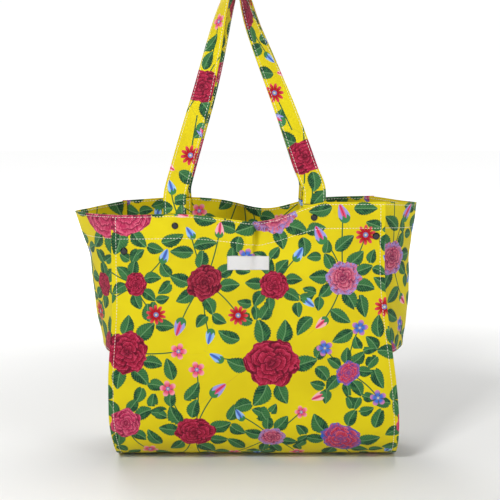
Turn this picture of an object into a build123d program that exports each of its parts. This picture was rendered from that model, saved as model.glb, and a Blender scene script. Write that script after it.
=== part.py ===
"""A foldable fabric tote bag with a sling under it that carries a rolled mat.

Millimetres, +Z up, the front faces -Y. The origin is at the middle of the flat
strip on which the sling stands. The two big panels are joined at each side by a
gusset with a crease in it, so the bag folds flat towards its back panel.
"""

from build123d import *
import os
from math import asin, cos, degrees, hypot, radians, sin, sqrt

os.makedirs("parts", exist_ok=True)

# Driving dimensions
PANEL_WIDTH = 316.0
BAG_DEPTH = 126.0
RIM_HEIGHT = 288.0
RIM_SLOPE = 0.06
TUNNEL_TOP = 127.5
SLING_FLAT = 44.0
HEM_DEPTH = 30.0

CLOTH = 0.8
LINING = 0.5
FLOOR_CLOTH = 0.6

SEAM_X = 153.0
SEAM_Y = 59.5
GUSSET_HALF = 67.0
SEAM_GAP = 1.5
CREASE_GAP = 2.0
WALL_FOOT = TUNNEL_TOP + 1.0

STRAP_WIDTH = 25.0
STRAP_LAYER = 1.2
STRAP_LEAN = 9.2
ROOT_LENGTH = 20.0
ROOT_GAP = 1.0
BACK_APEX_SHIFT = 6.0
LEFT_ROOT_X = -82.0
RIGHT_ROOT_X = 70.0

RIVET_DROP = 11.5
RIVET_RADIUS = 3.7
RIVET_HEIGHT = 1.6
BURR_RADIUS = 3.4
BURR_HEIGHT = 1.0
SNAP_X = 138.0
SNAP_DROP = 36.0
SNAP_RADIUS = 4.0
SNAP_HEIGHT = 1.8
STUD_RADIUS = 3.0
STUD_HEIGHT = 2.6
SOCKET_RADIUS = 4.2
SOCKET_HEIGHT = 2.8
SHANK_RADIUS = 1.25
HOLE_RADIUS = 1.3

LABEL_WIDTH = 46.0
LABEL_HEIGHT = 15.5
LABEL_THICKNESS = 0.5
LABEL_DROP = 58.0
LABEL_X = -2.0

# A handle's centre line: sideways, distance from the level rim, and turn of the strap
HANDLE_LINE = [
    (-75, 45, 4),
    (-64, 85, 12),
    (-52, 128, 24),
    (-42, 170, 38),
    (-33, 210, 56),
    (-26, 236, 70),
    (-22, 251, 82),
    (-16, 258, 90),
    (-11, 251, 82),
    (-8, 236, 72),
    (1, 205, 56),
    (15, 170, 40),
    (32, 128, 24),
    (48, 85, 12),
    (62, 45, 4),
]
APEX_RISE = 258.0

# Worked out from the driving dimensions
HALF_DEPTH = BAG_DEPTH / 2
INSIDE = HALF_DEPTH - CLOTH
LINED = INSIDE - LINING
FACED = INSIDE - CLOTH
CREASE_X = SEAM_X + sqrt(GUSSET_HALF**2 - SEAM_Y**2)
STRAP_INNER = FACED - 2 * STRAP_LAYER
STRAP_MIDDLE = FACED - STRAP_LAYER
ROOTS_X = (LEFT_ROOT_X, RIGHT_ROOT_X)
FRONT, BACK = -1, 1


def rim(x, drop=0.0):
    """The height of the sloping rim at x, or of a line at a drop below it."""
    return RIM_HEIGHT + RIM_SLOPE * x - drop


RIVETS = [(x, rim(x, RIVET_DROP)) for x in ROOTS_X]
SNAPS = [(x, rim(x, SNAP_DROP)) for x in (-SNAP_X, SNAP_X)]


def save(piece, node):
    """Labels a finished piece and writes it under its node's name."""
    piece.part.label = node
    export_step(piece.part, f"parts/{node}.step")
    print(f"{node}: {piece.part.volume:.0f} mm3")


def upright(side, inner, outer):
    """The sketch plane of a sheet parallel to XZ, and its extrusion, for one side."""
    start = inner if side == FRONT else -outer
    return Plane.XZ.offset(start), outer - inner


def sheet(node, side, inner, outer, width, foot_drop, rim_drop, holes):
    """A flat sheet of cloth parallel to the panels, with holes for its fasteners.

    Its upper edge follows the rim, and its foot does too unless foot_drop is None.
    """
    plane, thickness = upright(side, inner, outer)
    left, right = -width / 2, width / 2
    feet = [WALL_FOOT if foot_drop is None else rim(x, foot_drop) for x in (left, right)]
    with BuildPart() as flat:
        with BuildSketch(plane):
            with BuildLine():
                Polyline(
                    (left, feet[0]),
                    (right, feet[1]),
                    (right, rim(right, rim_drop)),
                    (left, rim(left, rim_drop)),
                    close=True,
                )
            make_face()
            with Locations(*holes):
                Circle(HOLE_RADIUS, mode=Mode.SUBTRACT)
        extrude(amount=thickness)
    save(flat, node)


def panel(name, side):
    """One big panel: outer cloth, lining and the faced hem inside the rim."""
    sheet(f"{name}_panel", side, INSIDE, HALF_DEPTH, PANEL_WIDTH, None, 0, RIVETS + SNAPS)
    sheet(f"{name}_lining", side, LINED, INSIDE, 2 * SEAM_X, None, HEM_DEPTH, SNAPS)
    sheet(f"{name}_rim_facing", side, FACED, INSIDE, 2 * SEAM_X, HEM_DEPTH, 0, RIVETS)


def sling(node, inset, thickness):
    """A layer of the sling: straight sides, rounded lower corners, a flat strip below."""
    half, corner = HALF_DEPTH - inset, (BAG_DEPTH - SLING_FLAT) / 2 - inset
    with BuildPart() as layer:
        with BuildSketch(Plane.YZ.offset(-PANEL_WIDTH / 2)):
            with Locations((0, (TUNNEL_TOP + inset) / 2)):
                outline = Rectangle(2 * half, TUNNEL_TOP - inset)
            fillet(outline.vertices().group_by(Axis.Y)[0], corner)
            with BuildSketch(Plane.YZ.offset(-PANEL_WIDTH / 2), mode=Mode.PRIVATE) as hollow:
                with Locations((0, (TUNNEL_TOP + inset + thickness) / 2)):
                    Rectangle(2 * (half - thickness), TUNNEL_TOP - inset - thickness)
                fillet(hollow.vertices().group_by(Axis.Y)[0], corner - thickness)
            add(hollow.sketch_local, mode=Mode.SUBTRACT)
        extrude(amount=PANEL_WIDTH)
    save(layer, node)


def gusset_wall(node, start, end, inner, outer, low, high):
    """A flat half of a gusset between two upright lines, with thickness on its outer side.

    The gap at a crease or a seam lets the two halves lie against each other when folded.
    """
    (x0, y0, gap0), (x1, y1, gap1) = start, end
    run = hypot(x1 - x0, y1 - y0)
    along = ((x1 - x0) / run, (y1 - y0) / run)
    away = (along[1], -along[0])
    if away[0] * (x0 + x1) < 0:
        away = (-away[0], -away[1])
    corners = [
        (x0 + along[0] * s + away[0] * t, y0 + along[1] * s + away[1] * t)
        for s, t in ((gap0, inner), (run - gap1, inner), (run - gap1, outer), (gap0, outer))
    ]
    with BuildPart() as wall:
        with BuildSketch(Plane.XY.offset(low)):
            with BuildLine():
                Polyline(*corners, close=True)
            make_face()
        extrude(amount=high - low)
    save(wall, node)


def gussets():
    """Both gussets: on each, a rear and a front half, each with cloth, lining and hem facing."""
    for name, x in (("left", -1), ("right", 1)):
        crease = (x * CREASE_X, 0, CREASE_GAP)
        top = rim(x * SEAM_X)
        for half, side in (("rear", BACK), ("front", FRONT)):
            seam = (x * SEAM_X, side * SEAM_Y, SEAM_GAP)
            whole = f"{name}_gusset_{half}"
            gusset_wall(whole, seam, crease, LINING, LINING + CLOTH, WALL_FOOT, top)
            gusset_wall(f"{whole}_lining", seam, crease, 0, LINING, WALL_FOOT, top - HEM_DEPTH)
            gusset_wall(f"{whole}_facing", seam, crease, 0, LINING, top - HEM_DEPTH, top)


def inner_floor():
    """The floor between the compartment and the tunnel, pointed where the gussets bulge."""
    with BuildPart() as floor:
        with BuildSketch(Plane.XY.offset(TUNNEL_TOP + 0.1)):
            with BuildLine():
                Polyline(
                    (-SEAM_X, -SEAM_Y),
                    (SEAM_X, -SEAM_Y),
                    (CREASE_X - CREASE_GAP, 0),
                    (SEAM_X, SEAM_Y),
                    (-SEAM_X, SEAM_Y),
                    (CREASE_GAP - CREASE_X, 0),
                    close=True,
                )
            make_face()
        extrude(amount=FLOOR_CLOTH)
    save(floor, "inner_floor")


def handle_tabs(node, side):
    """The strap ends sewn flat against the hem, each with the hole for its rivet."""
    plane, thickness = upright(side, STRAP_INNER, FACED)
    with BuildPart() as tabs:
        with BuildSketch(plane):
            with Locations(*((x, rim(x, HEM_DEPTH / 2 - 1)) for x in ROOTS_X)):
                Rectangle(STRAP_WIDTH, HEM_DEPTH - 2)
            with Locations(*RIVETS):
                Circle(HOLE_RADIUS, mode=Mode.SUBTRACT)
        extrude(amount=thickness)
    save(tabs, node)


def lean_axes(side):
    """The direction in which a handle rises from the rim, and its outward normal."""
    tilt = radians(STRAP_LEAN)
    return Vector(0, -side * sin(tilt), cos(tilt)), Vector(0, side * cos(tilt), sin(tilt))


def handle_roots(node, side):
    """The two short stiff lengths of strap just above the rim."""
    rise, _ = lean_axes(side)
    with BuildPart() as roots:
        for x in ROOTS_X:
            foot = Vector(x, side * STRAP_MIDDLE, rim(x)) + rise * ROOT_GAP
            with BuildSketch(Plane(origin=foot, x_dir=(1, 0, 0), z_dir=rise)):
                Rectangle(STRAP_WIDTH, 2 * STRAP_LAYER)
            extrude(amount=ROOT_LENGTH - 2 * ROOT_GAP)
    save(roots, node)


def handle_web(node, side, outward, apex_shift):
    """One layer of a strap: a ribbon that rises, turns edge-on at the top and comes down."""
    rise, normal = lean_axes(side)
    ends = [(x, rim(x) - RIM_HEIGHT + ROOT_LENGTH + ROOT_GAP, 0) for x in ROOTS_X]
    stations = [ends[0], *HANDLE_LINE, ends[1]]
    points = []
    for x, s, _ in stations:
        shifted = x + apex_shift * (s / APEX_RISE) ** 2
        points.append(Vector(shifted, side * STRAP_MIDDLE, RIM_HEIGHT) + rise * s)
    tangents = [(after - before).normalized() for before, after in zip(points, points[2:])]
    tangents = [rise, *tangents, rise * -1]
    with BuildPart() as web:
        for (_, _, turn), point, tangent in zip(stations, points, tangents):
            across = (tangent.cross(normal) * -side).normalized()
            width = across * cos(radians(turn)) + normal * sin(radians(turn))
            with BuildSketch(Plane(origin=point, x_dir=width, z_dir=tangent)):
                with Locations((0, side * outward * STRAP_LAYER / 2)):
                    Rectangle(STRAP_WIDTH, STRAP_LAYER)
        loft(ruled=True)
    save(web, node)


def outer_edges(piece, side):
    """The round edges furthest out on the front or on the back."""
    rings = piece.edges().filter_by(GeomType.CIRCLE).group_by(Axis.Y)
    return rings[0] if side == FRONT else rings[-1]


def capped_pins(node, side, spots, radius, height, reach):
    """Domed caps on the outside, each with a shank through the cloth to its inner half."""
    plane, _ = upright(side, HALF_DEPTH, HALF_DEPTH + height)
    shank_plane, shank_length = upright(side, reach, HALF_DEPTH)
    with BuildPart() as pins:
        with BuildSketch(plane):
            with Locations(*spots):
                Circle(radius)
        extrude(amount=height)
        fillet(outer_edges(pins, side), height * 0.8)
        with BuildSketch(shank_plane):
            with Locations(*spots):
                Circle(SHANK_RADIUS)
        extrude(amount=shank_length)
    save(pins, node)


def discs(node, side, spots, inner, outer, radius, bore):
    """Round inner halves of the fasteners, with a bore that faces the other panel."""
    plane, thickness = upright(side, inner, outer)
    with BuildPart() as rounds:
        with BuildSketch(plane):
            with Locations(*spots):
                Circle(radius)
        extrude(amount=thickness)
        if bore:
            mouth, depth = upright(side, inner, outer - 1)
            with BuildSketch(mouth):
                with Locations(*spots):
                    Circle(bore)
            extrude(amount=depth, mode=Mode.SUBTRACT)
    save(rounds, node)


def label():
    """The plain woven label sewn on the front panel."""
    plane, thickness = upright(FRONT, HALF_DEPTH, HALF_DEPTH + LABEL_THICKNESS)
    with BuildPart() as tag:
        with BuildSketch(plane):
            with Locations((LABEL_X, RIM_HEIGHT - LABEL_DROP)):
                RectangleRounded(LABEL_WIDTH, LABEL_HEIGHT, 0.8)
        extrude(amount=thickness)
    save(tag, "blank_label")


panel("front", FRONT)
panel("back", BACK)
gussets()
sling("mat_sling", 0, CLOTH)
sling("sling_lining", CLOTH, LINING)
inner_floor()
label()

for name, side, shift in (("front", FRONT, 0), ("back", BACK, BACK_APEX_SHIFT)):
    handle_tabs(f"{name}_handle_tabs", side)
    handle_roots(f"{name}_handle_roots", side)
    handle_web(f"{name}_handle", side, 1, shift)
    handle_web(f"{name}_handle_backing", side, -1, shift)
    capped_pins(f"{name}_rivets", side, RIVETS, RIVET_RADIUS, RIVET_HEIGHT, STRAP_INNER)
    discs(f"{name}_rivet_burrs", side, RIVETS, STRAP_INNER - BURR_HEIGHT, STRAP_INNER, BURR_RADIUS, 0)
    capped_pins(f"{name}_snap_caps", side, SNAPS, SNAP_RADIUS, SNAP_HEIGHT, LINED)

discs("front_snap_studs", FRONT, SNAPS, LINED - STUD_HEIGHT, LINED, STUD_RADIUS, 0)
discs("back_snap_sockets", BACK, SNAPS, LINED - SOCKET_HEIGHT, LINED, SOCKET_RADIUS, STUD_RADIUS + 0.2)

rest_angle = degrees(asin((CREASE_X - SEAM_X) / GUSSET_HALF))
print(f"crease at {CREASE_X:.3f}, gusset halves rest {rest_angle:.3f} degrees from the depth")
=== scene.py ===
"""A foldable tote bag of flower-printed cloth, with a sling under it for a rolled mat.

Metres, +Z up, the front faces -Y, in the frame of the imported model. Every cloth
piece is a surface of two parameters, the print is laid on it from a short list of
flowers, and the stitches are small lengths of thread set along the seams.
"""

import math
from functools import partial

import bpy
import numpy as np
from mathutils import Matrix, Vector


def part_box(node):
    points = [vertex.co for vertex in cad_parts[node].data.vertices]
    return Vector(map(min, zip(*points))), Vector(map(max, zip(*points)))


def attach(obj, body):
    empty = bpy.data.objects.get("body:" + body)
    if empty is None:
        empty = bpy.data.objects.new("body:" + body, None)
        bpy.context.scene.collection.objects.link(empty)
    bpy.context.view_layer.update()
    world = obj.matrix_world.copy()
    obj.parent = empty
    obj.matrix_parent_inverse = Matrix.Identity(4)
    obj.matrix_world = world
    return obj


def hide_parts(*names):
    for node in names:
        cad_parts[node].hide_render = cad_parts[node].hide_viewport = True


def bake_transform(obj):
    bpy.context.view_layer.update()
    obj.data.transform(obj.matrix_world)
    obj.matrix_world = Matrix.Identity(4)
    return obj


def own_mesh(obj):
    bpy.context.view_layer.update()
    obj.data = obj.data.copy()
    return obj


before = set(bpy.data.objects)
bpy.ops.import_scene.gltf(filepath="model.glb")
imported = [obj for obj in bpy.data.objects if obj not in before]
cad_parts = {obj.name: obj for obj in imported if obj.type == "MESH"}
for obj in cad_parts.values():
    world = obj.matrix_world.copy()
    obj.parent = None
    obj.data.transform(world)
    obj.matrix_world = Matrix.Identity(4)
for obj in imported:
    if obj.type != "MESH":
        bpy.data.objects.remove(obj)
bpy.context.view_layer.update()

bl_info = {
    "name": "Foldable tote bag",
    "version": (1, 0, 0),
    "blender": (4, 5, 0),
    "location": "View3D > Sidebar > Tote bag",
    "description": "Makes a flower-printed foldable tote bag with a mat sling",
    "category": "Add Mesh",
}

SLING_LOW, SLING_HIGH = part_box("mat_sling")
HALF_DEPTH = -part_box("front_panel")[0][1]
PANEL_FOOT = SLING_HIGH[2]
LABEL_LOW, LABEL_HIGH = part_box("blank_label")
TABS_LOW, TABS_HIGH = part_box("front_handle_tabs")
FRONT, BACK = -1, 1
LEFT, RIGHT = -1, 1
MM = 0.001

# Half a strap's width, the middles of the two strap roots, their distance from the
# bag's middle plane, and the distance of the seam lines beside the gussets
STRAP_HALF = 12.5 * MM
ROOTS_X = (TABS_LOW[0] + STRAP_HALF, TABS_HIGH[0] - STRAP_HALF)
STRAP_MIDDLE = -(TABS_LOW[1] + TABS_HIGH[1]) / 2
SEAM_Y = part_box("left_gusset_rear")[1][1]

# A wall's height above the sling. The width and the first parameter of its mesh
PANEL_RISE = 0.16
PANEL_ACROSS, GUSSET_ACROSS = (0.316, -1.0), (0.150, 0.0)
# The flat cut pieces: length of a tab
TAB_CUT = 0.027
# How deep the lining and the faced hem lie inside a wall, and how thick they are
LINING_DEPTH, LINING_THICKNESS = 0.0012, 0.0005
FACING_DEPTH, FACING_THICKNESS = 0.0010, 0.0006
# The print's offset on each handle, in metres of cloth
STRAP_PRINT = {FRONT: (-0.060, 0.235), BACK: (0.03, 0.235)}

# Stitch rows: shares of a wall's height and of a panel's half width, and the distance
# from a strap's edge. A row comes out on the inside this far behind the outer cloth
RIM_ROW, OVER_HEM, EDGE_ROW = 0.984, 0.012, 0.9665
STRAP_ROW = 0.0024
THROUGH_WALL, THROUGH_RIDGE = 0.0018, 0.0026

# A handle's centre line: sideways and distance from the level rim in millimetres, and
# the turn of the strap in degrees
HANDLE_LINE = [
    (-75, 45, 4),
    (-64, 85, 12),
    (-52, 128, 24),
    (-42, 170, 38),
    (-33, 210, 56),
    (-26, 236, 70),
    (-22, 251, 82),
    (-16, 258, 90),
    (-11, 251, 82),
    (-8, 236, 72),
    (1, 205, 56),
    (15, 170, 40),
    (32, 128, 24),
    (48, 85, 12),
    (62, 45, 4),
]
APEX_RISE = 258.0

# The printed repeat, in millimetres of cloth: 0 across is the middle of the front
REPEAT = (320.0, 342.0)
CRIMSON, PINK, DARK, BLUE, MAGENTA = range(5)
DAISY, PINK_STAR, BLUE_STAR, TULIP, BLUE_BUD, RED_BUD = range(6)
# Roses by radius and kind, largest first, and small flowers by half length and kind
ROSES = [
    (33, CRIMSON),
    (31, MAGENTA),
    (28, PINK),
    (27, CRIMSON),
    (26, BLUE),
    (25, CRIMSON),
    (23, DARK),
    (21, PINK),
    (19, MAGENTA),
    (18, CRIMSON),
    (17, PINK),
    (16, BLUE),
    (15, CRIMSON),
]
BLOSSOMS = [
    (12, DAISY),
    (11, TULIP),
    (10, PINK_STAR),
    (10, BLUE_STAR),
    (9, BLUE_BUD),
    (9, RED_BUD),
    (8, PINK_STAR),
    (8, BLUE_BUD),
]
BLOSSOM_ROUNDS = 5
FILLING_LEAVES = 24
FIRST_ROSE = (24.0, 118.0)
# The room that a rose takes, against its radius, and the number of places to choose from
ROSE_ROOM = 1.3
SPOTS = 5000


class ToteSizes(bpy.types.PropertyGroup):
    """The sizes that a user would change."""

    rim_height: bpy.props.FloatProperty(
        name="Rim height", description="Height of the front rim on its left side", default=0.2832,
        unit="LENGTH",
    )
    rim_rise: bpy.props.FloatProperty(
        name="Rim rise", description="How much higher the front rim is on its right side",
        default=0.0145, unit="LENGTH",
    )
    rim_sag: bpy.props.FloatProperty(
        name="Rim sag", description="How far the rim drops between the handles",
        default=0.0066, unit="LENGTH",
    )
    panel_dent: bpy.props.FloatProperty(
        name="Panel dent", description="How far the middle of the front falls inwards", default=0.0022,
        unit="LENGTH",
    )
    tuck_depth: bpy.props.FloatProperty(
        name="Tuck depth", description="Depth of the upright fold beside the label", default=0.0088,
        unit="LENGTH",
    )
    cloth_thickness: bpy.props.FloatProperty(
        name="Cloth thickness", description="Thickness of the printed cloth", default=0.0008, unit="LENGTH",
    )
    hem_depth: bpy.props.FloatProperty(
        name="Hem depth", description="Depth of the turned hem below the rim", default=0.029, unit="LENGTH",
    )
    strap_width: bpy.props.FloatProperty(
        name="Strap width", description="Width of a handle's strap", default=2 * STRAP_HALF, unit="LENGTH",
    )
    strap_thickness: bpy.props.FloatProperty(
        name="Strap thickness", description="Thickness of a strap's two layers", default=0.0024,
        unit="LENGTH",
    )
    stitch_pitch: bpy.props.FloatProperty(
        name="Stitch pitch", description="Distance from one stitch to the next", default=0.0034,
        unit="LENGTH",
    )
    mesh_step: bpy.props.FloatProperty(
        name="Mesh step", description="Size of a cloth mesh's faces", default=0.0021, unit="LENGTH",
    )


class ToteColours(bpy.types.PropertyGroup):
    """The colours that a user would change."""

    ground: bpy.props.FloatVectorProperty(
        name="Ground", description="Ground of the print", subtype="COLOR", size=3,
        default=(0.77, 0.64, 0.006),
    )
    thread: bpy.props.FloatVectorProperty(
        name="Thread", description="Sewing thread", subtype="COLOR", size=3, default=(0.88, 0.86, 0.74),
    )
    label: bpy.props.FloatVectorProperty(
        name="Label", description="Woven label", subtype="COLOR", size=3, default=(0.78, 0.77, 0.77),
    )
    fastener: bpy.props.FloatVectorProperty(
        name="Fastener", description="Enamel of rivets and snaps", subtype="COLOR", size=3,
        default=(0.006, 0.006, 0.008),
    )
    floor: bpy.props.FloatVectorProperty(
        name="Floor", description="Studio floor", subtype="COLOR", size=3, default=(0.86, 0.86, 0.85),
    )


def sizes():
    """The scene's sizes."""
    return bpy.context.scene.tote_sizes


def colours():
    """The scene's colours."""
    return bpy.context.scene.tote_colours


# Node trees


class Weaver:
    """Adds nodes to a tree, so that a formula can be written as one expression."""

    def __init__(self, tree):
        self.tree = tree

    def put(self, socket, value):
        """Joins a socket to a value: another node's output, or a constant."""
        if isinstance(value, bpy.types.NodeSocket):
            self.tree.links.new(value, socket)
        else:
            socket.default_value = value

    def node(self, kind, values=(), **settings):
        """A node of that kind, with its settings and its inputs by place or name."""
        made = self.tree.nodes.new(kind)
        for name, value in settings.items():
            setattr(made, name, value)
        for key, value in dict(values).items():
            self.put(made.inputs[key], value)
        return made

    def math(self, operation, a, b=0.0, c=0.0):
        """One step of arithmetic."""
        return self.node("ShaderNodeMath", {0: a, 1: b, 2: c}, operation=operation).outputs[0]

    def times(self, a, b):
        """a times b."""
        return self.math("MULTIPLY", a, b)

    def times_plus(self, a, b, c):
        """a times b, plus c."""
        return self.math("MULTIPLY_ADD", a, b, c)

    def less(self, a, b):
        """a less b."""
        return self.math("SUBTRACT", a, b)

    def size(self, a):
        """a without its sign."""
        return self.math("ABSOLUTE", a)

    def step(self, value, low, high):
        """Rises smoothly from 0 at low to 1 at high, or falls where high is below low."""
        made = self.node(
            "ShaderNodeMapRange", {0: value, 1: low, 2: high, 3: 0.0, 4: 1.0}, interpolation_type="SMOOTHSTEP"
        )
        return made.outputs[0]

    def blend(self, share, a, b, mode="MIX"):
        """Colour a where share is 0, colour b where it is 1."""
        made = self.node("ShaderNodeMix", {0: share}, data_type="RGBA", blend_type=mode)
        self.put(made.inputs[6], a)
        self.put(made.inputs[7], b)
        return made.outputs[2]

    def noise(self, place, scale, detail=2.0, roughness=0.5):
        """A cloudy value from 0 to 1."""
        made = self.node(
            "ShaderNodeTexNoise", {"Vector": place, "Scale": scale, "Detail": detail, "Roughness": roughness}
        )
        return made.outputs[0]

    def parts(self, vector):
        """A vector's three numbers."""
        made = self.node("ShaderNodeSeparateXYZ", {0: vector})
        return made.outputs[0], made.outputs[1], made.outputs[2]

    def vector(self, x, y, z):
        """A vector of three numbers."""
        return self.node("ShaderNodeCombineXYZ", {0: x, 1: y, 2: z}).outputs[0]

    def is_kind(self, kind, number):
        """1 where the kind is that number, else 0."""
        return self.math("COMPARE", kind, float(number), 0.3)

    def place(self):
        """The place in the object's own coordinates."""
        return self.node("ShaderNodeTexCoord").outputs["Object"]

    def grey(self, value):
        """A grey of that value."""
        return self.node("ShaderNodeCombineColor", {i: value for i in range(3)}).outputs[0]

    def relief(self, shader, height, strength, distance):
        """Tilts a shader's normal by the slope of a height."""
        bump = self.node("ShaderNodeBump", {"Height": height, "Strength": strength, "Distance": distance})
        self.put(shader.inputs["Normal"], bump.outputs[0])


def new_group(name, ins, outs):
    """An empty node group with named sockets, and a Weaver on it."""
    group = bpy.data.node_groups.new(name, "ShaderNodeTree")
    for way, sockets in (("INPUT", ins), ("OUTPUT", outs)):
        for label, kind in sockets:
            group.interface.new_socket(label, in_out=way, socket_type=f"NodeSocket{kind}")
    weave = Weaver(group)
    source = group.nodes.new("NodeGroupInput").outputs
    sink = group.nodes.new("NodeGroupOutput").inputs
    return group, weave, source, sink


# What goes into a motif's group and what comes out of it
MOTIF_SOCKETS = [("Motif", "Vector")], [("Colour", "Color"), ("Mask", "Float")]


def colour(red, green, blue):
    """An opaque colour."""
    return (red, green, blue, 1.0)


def motif_parts(w, local):
    """The place in a motif, its kind and its seed: the third number holds kind plus seed."""
    x, y, code = w.parts(local)
    kind = w.math("FLOOR", code)
    seed = w.math("FRACT", code)
    return x, y, kind, seed


def radius_and_angle(w, x, y):
    """Polar coordinates."""
    square = w.times_plus(x, x, w.times(y, y))
    return w.math("SQRT", square), w.math("ARCTAN2", y, x)


def rose_group():
    """Rings of cupped petals: the ring number is the radius with a scallop taken off.

    Inside each ring the shade runs from a dark root to a light lip, and the rings
    turn by a fixed angle, so that no petal sits behind another.
    """
    group, w, source, sink = new_group("Rose", *MOTIF_SOCKETS)
    x0, y0, kind, seed = motif_parts(w, source["Motif"])
    place = w.vector(x0, y0, w.times(seed, 40.0))
    wander = w.less(w.noise(place, 2.2, 2.0), 0.5)
    drift = w.less(w.noise(place, 3.1, 1.0), 0.5)
    x = w.times_plus(wander, 0.34, x0)
    y = w.times_plus(drift, 0.34, y0)
    r, angle = radius_and_angle(w, x, y)
    swirl = w.times_plus(r, 1.3, angle)
    first_ring = w.math("FLOOR", w.times(r, 4.6))
    phase = w.times_plus(first_ring, 2.4, w.times(seed, 6.0))
    scallop = w.size(w.math("COSINE", w.times_plus(swirl, 1.5, phase)))
    bow = w.times(scallop, w.times_plus(r, 0.75, 0.35))
    turn = w.less(w.times(r, 5.6), bow)
    inside = w.math("FRACT", turn)
    lip = w.step(inside, 0.52, 0.92)
    root = w.step(inside, 0.42, 0.02)
    gap = w.step(scallop, 0.26, 0.05)
    brush = w.noise(w.vector(w.times(angle, 5.0), w.times(r, 2.0), seed), 3.0, 3.0)
    streak = w.step(brush, 0.35, 0.68)
    centre = w.step(r, 0.34, 0.05)

    middle = colour(0.27, 0.003, 0.025)
    light = colour(0.68, 0.050, 0.125)
    dark = colour(0.055, 0.001, 0.010)
    for number, (m, l, d) in {
        PINK: ((0.45, 0.03, 0.10), (0.84, 0.28, 0.36), (0.11, 0.006, 0.05)),
        DARK: ((0.20, 0.004, 0.02), (0.55, 0.05, 0.10), (0.04, 0.001, 0.01)),
        BLUE: ((0.45, 0.01, 0.05), (0.80, 0.16, 0.22), (0.03, 0.06, 0.30)),
        MAGENTA: ((0.46, 0.012, 0.08), (0.84, 0.17, 0.28), (0.12, 0.003, 0.02)),
    }.items():
        chosen = w.is_kind(kind, number)
        middle = w.blend(chosen, middle, colour(*m))
        light = w.blend(chosen, light, colour(*l))
        dark = w.blend(chosen, dark, colour(*d))
    shade = w.blend(w.times(streak, 0.45), middle, light)
    shade = w.blend(w.times(lip, w.times_plus(streak, 0.6, 0.25)), shade, light)
    shade = w.blend(w.math("MAXIMUM", w.times(root, 0.75), w.times(gap, 0.8)), shade, dark)
    shade = w.blend(w.times(centre, 0.45), shade, dark)

    outer_turn = w.times_plus(angle, 3.0, w.times(seed, 9.0))
    outline = w.times_plus(w.size(w.math("COSINE", outer_turn)), 0.10, 0.84)
    blue_lip = w.times(w.is_kind(kind, BLUE), w.step(r, 0.66, 0.86))
    pale_lip = w.times(w.is_kind(kind, PINK), w.step(r, 0.52, 0.80))
    shade = w.blend(w.times(blue_lip, w.step(brush, 0.62, 0.42)), shade, colour(0.02, 0.13, 0.55))
    shade = w.blend(w.times(pale_lip, w.step(brush, 0.60, 0.44)), shade, colour(0.30, 0.26, 0.62))
    w.put(sink["Colour"], shade)
    w.put(sink["Mask"], w.step(w.less(r, outline), 0.012, -0.012))
    return group


def leaf_group():
    """A pointed leaf along x with a saw edge, a pale midrib and slanting side veins."""
    group, w, source, sink = new_group("Leaf", *MOTIF_SOCKETS)
    x, y0, _, seed = motif_parts(w, source["Motif"])
    bend = w.times(w.less(seed, 0.45), 0.5)
    y = w.less(y0, w.times(bend, w.less(1.0, w.times(x, x))))
    across = w.size(y)
    belly = w.less(1.0, w.times(x, x))
    width = w.times(w.math("POWER", belly, 0.75), w.times_plus(x, -0.24, 0.74))
    tooth = w.math("FRACT", w.times_plus(x, 4.6, w.times(across, 1.2)))
    edge = w.times(width, w.times_plus(tooth, -0.16, 1.0))
    inside = w.less(edge, across)
    mask = w.times(w.step(inside, -0.015, 0.02), w.step(w.size(x), 1.0, 0.98))
    slant = w.math("FRACT", w.times_plus(x, 4.2, w.times(across, -3.2)))
    vein = w.times(w.step(slant, 0.20, 0.05), w.step(inside, 0.02, 0.2))
    midrib = w.step(across, 0.075, 0.02)
    patch = w.noise(w.vector(x, y, w.times(seed, 30.0)), 2.3, 3.0)
    half = w.step(y, -0.12, 0.12)
    green = w.blend(w.step(patch, 0.38, 0.66), colour(0.007, 0.052, 0.024), colour(0.034, 0.155, 0.044))
    green = w.blend(w.times(half, 0.60), green, colour(0.060, 0.225, 0.062))
    green = w.blend(w.times(w.step(slant, 0.55, 0.95), 0.55), green, colour(0.006, 0.045, 0.03))
    green = w.blend(w.times(vein, 0.40), green, colour(0.16, 0.38, 0.17))
    green = w.blend(w.times(midrib, 0.55), green, colour(0.20, 0.42, 0.17))
    w.put(sink["Colour"], green)
    w.put(sink["Mask"], mask)
    return group


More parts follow.
